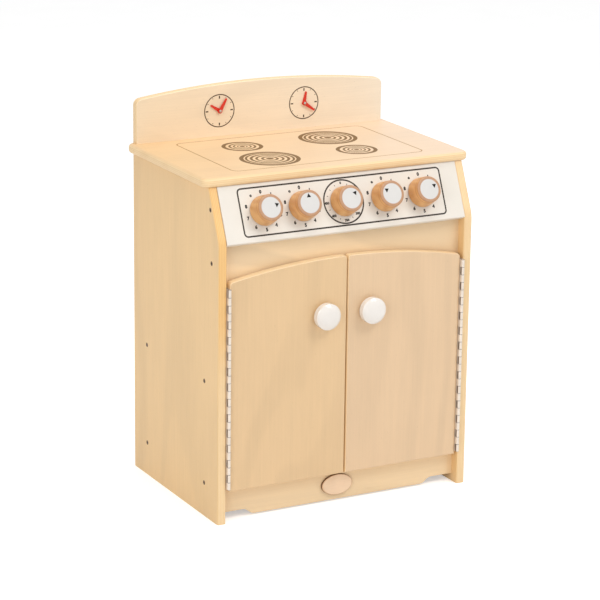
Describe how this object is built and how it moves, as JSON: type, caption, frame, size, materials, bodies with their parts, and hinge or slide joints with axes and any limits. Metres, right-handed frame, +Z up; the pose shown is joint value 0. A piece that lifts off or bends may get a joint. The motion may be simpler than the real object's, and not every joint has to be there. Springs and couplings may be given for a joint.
{
  "type": "toy oven",
  "caption": "Wooden play cooker with a slanted dial panel, printed hob rings, toy clocks and a cupboard behind a pair of arched doors on piano hinges.",
  "frame": {"origin": "on the floor, in the middle of the object's length and width, door knobs included", "axes": "+Z up, the doors and dials face -Y, +X to the right of someone who faces the doors"},
  "size_m": [0.491, 0.351, 0.6645],
  "materials": {
    "birch_ply": "clear-lacquered birch plywood",
    "back_ply": "plain thin plywood",
    "pine": "planed softwood strip",
    "white_paint": "plywood, painted warm white on the face",
    "maple": "turned and lacquered maple",
    "gloss_white": "turned wood in gloss white lacquer",
    "white_plastic": "satin white",
    "red_plastic": "gloss red",
    "brown_plastic": "moulded brown",
    "nickel": "nickel-plated",
    "steel": "zinc-plated",
    "magnet": "sintered magnet"
  },
  "bodies": {
    "cabinet": {"side_panel_left": "birch_ply", "side_panel_right": "birch_ply", "worktop": "birch_ply", "backsplash": "birch_ply", "shelf_middle": "birch_ply", "shelf_bottom": "birch_ply", "fascia_rail": "birch_ply", "apron": "birch_ply", "plaque": "birch_ply", "back_panel": "back_ply", "cleat_left": "pine", "cleat_right": "pine", "control_panel": "white_paint", "side_screws": "steel", "backsplash_screws": "steel", "back_screws": "steel", "cleat_screws": "steel", "hinge_frame_screws": "steel", "catch_screws": "steel", "clock_rivets": "steel", "hinge_frame_leaf_left": "nickel", "hinge_frame_leaf_right": "nickel", "hinge_pin_left": "nickel", "hinge_pin_right": "nickel", "catch_left": "brown_plastic", "catch_right": "brown_plastic", "catch_magnets": "magnet"},
    "left_door": {"door_left": "birch_ply", "door_knob_left": "gloss_white", "door_knob_screw_left": "steel", "hinge_door_leaf_left": "nickel", "hinge_door_screws_left": "steel", "strike_left": "nickel", "strike_screws_left": "steel"},
    "left_hour_hand": {"clock_hour_hand_left": "red_plastic"},
    "left_minute_hand": {"clock_minute_hand_left": "red_plastic"},
    "right_door": {"door_right": "birch_ply", "door_knob_right": "gloss_white", "door_knob_screw_right": "steel", "hinge_door_leaf_right": "nickel", "hinge_door_screws_right": "steel", "strike_right": "nickel", "strike_screws_right": "steel"},
    "right_hour_hand": {"clock_hour_hand_right": "red_plastic"},
    "right_minute_hand": {"clock_minute_hand_right": "red_plastic"},
    "dial_1_body": {"dial_1": "maple", "dial_face_1": "white_plastic", "dial_screw_1": "steel"},
    "dial_2_body": {"dial_2": "maple", "dial_face_2": "white_plastic", "dial_screw_2": "steel"},
    "dial_3_body": {"dial_3": "maple", "dial_face_3": "white_plastic", "dial_screw_3": "steel"},
    "dial_4_body": {"dial_4": "maple", "dial_face_4": "white_plastic", "dial_screw_4": "steel"},
    "dial_5_body": {"dial_5": "maple", "dial_face_5": "white_plastic", "dial_screw_5": "steel"}
  },
  "joints": [
    {"name": "left_door_hinge", "type": "hinge", "parent": "cabinet", "child": "left_door", "pos_m": [-0.217, -0.1569, 0.0545], "axis": [0, 0, -1], "range_deg": [0, 180]},
    {"name": "right_door_hinge", "type": "hinge", "parent": "cabinet", "child": "right_door", "pos_m": [0.217, -0.1569, 0.0545], "axis": [0, 0, 1], "range_deg": [0, 180]},
    {"name": "dial_1_turn", "type": "hinge", "parent": "cabinet", "child": "dial_1_body", "pos_m": [-0.146, -0.13475, 0.515], "axis": [0, -0.9131, 0.4077], "continuous": true},
    {"name": "dial_2_turn", "type": "hinge", "parent": "cabinet", "child": "dial_2_body", "pos_m": [-0.076, -0.13475, 0.515], "axis": [0, -0.9131, 0.4077], "continuous": true},
    {"name": "dial_3_turn", "type": "hinge", "parent": "cabinet", "child": "dial_3_body", "pos_m": [0, -0.13475, 0.515], "axis": [0, -0.9131, 0.4077], "continuous": true},
    {"name": "dial_4_turn", "type": "hinge", "parent": "cabinet", "child": "dial_4_body", "pos_m": [0.076, -0.13475, 0.515], "axis": [0, -0.9131, 0.4077], "continuous": true},
    {"name": "dial_5_turn", "type": "hinge", "parent": "cabinet", "child": "dial_5_body", "pos_m": [0.146, -0.13475, 0.515], "axis": [0, -0.9131, 0.4077], "continuous": true},
    {"name": "left_hour_hand_turn", "type": "hinge", "parent": "cabinet", "child": "left_hour_hand", "pos_m": [-0.081, 0.1575, 0.6168], "axis": [0, 1, 0], "continuous": true},
    {"name": "left_minute_hand_turn", "type": "hinge", "parent": "cabinet", "child": "left_minute_hand", "pos_m": [-0.081, 0.1575, 0.6168], "axis": [0, 1, 0], "continuous": true},
    {"name": "right_hour_hand_turn", "type": "hinge", "parent": "cabinet", "child": "right_hour_hand", "pos_m": [0.081, 0.1575, 0.6168], "axis": [0, 1, 0], "continuous": true},
    {"name": "right_minute_hand_turn", "type": "hinge", "parent": "cabinet", "child": "right_minute_hand", "pos_m": [0.081, 0.1575, 0.6168], "axis": [0, 1, 0], "continuous": true}
  ]
}
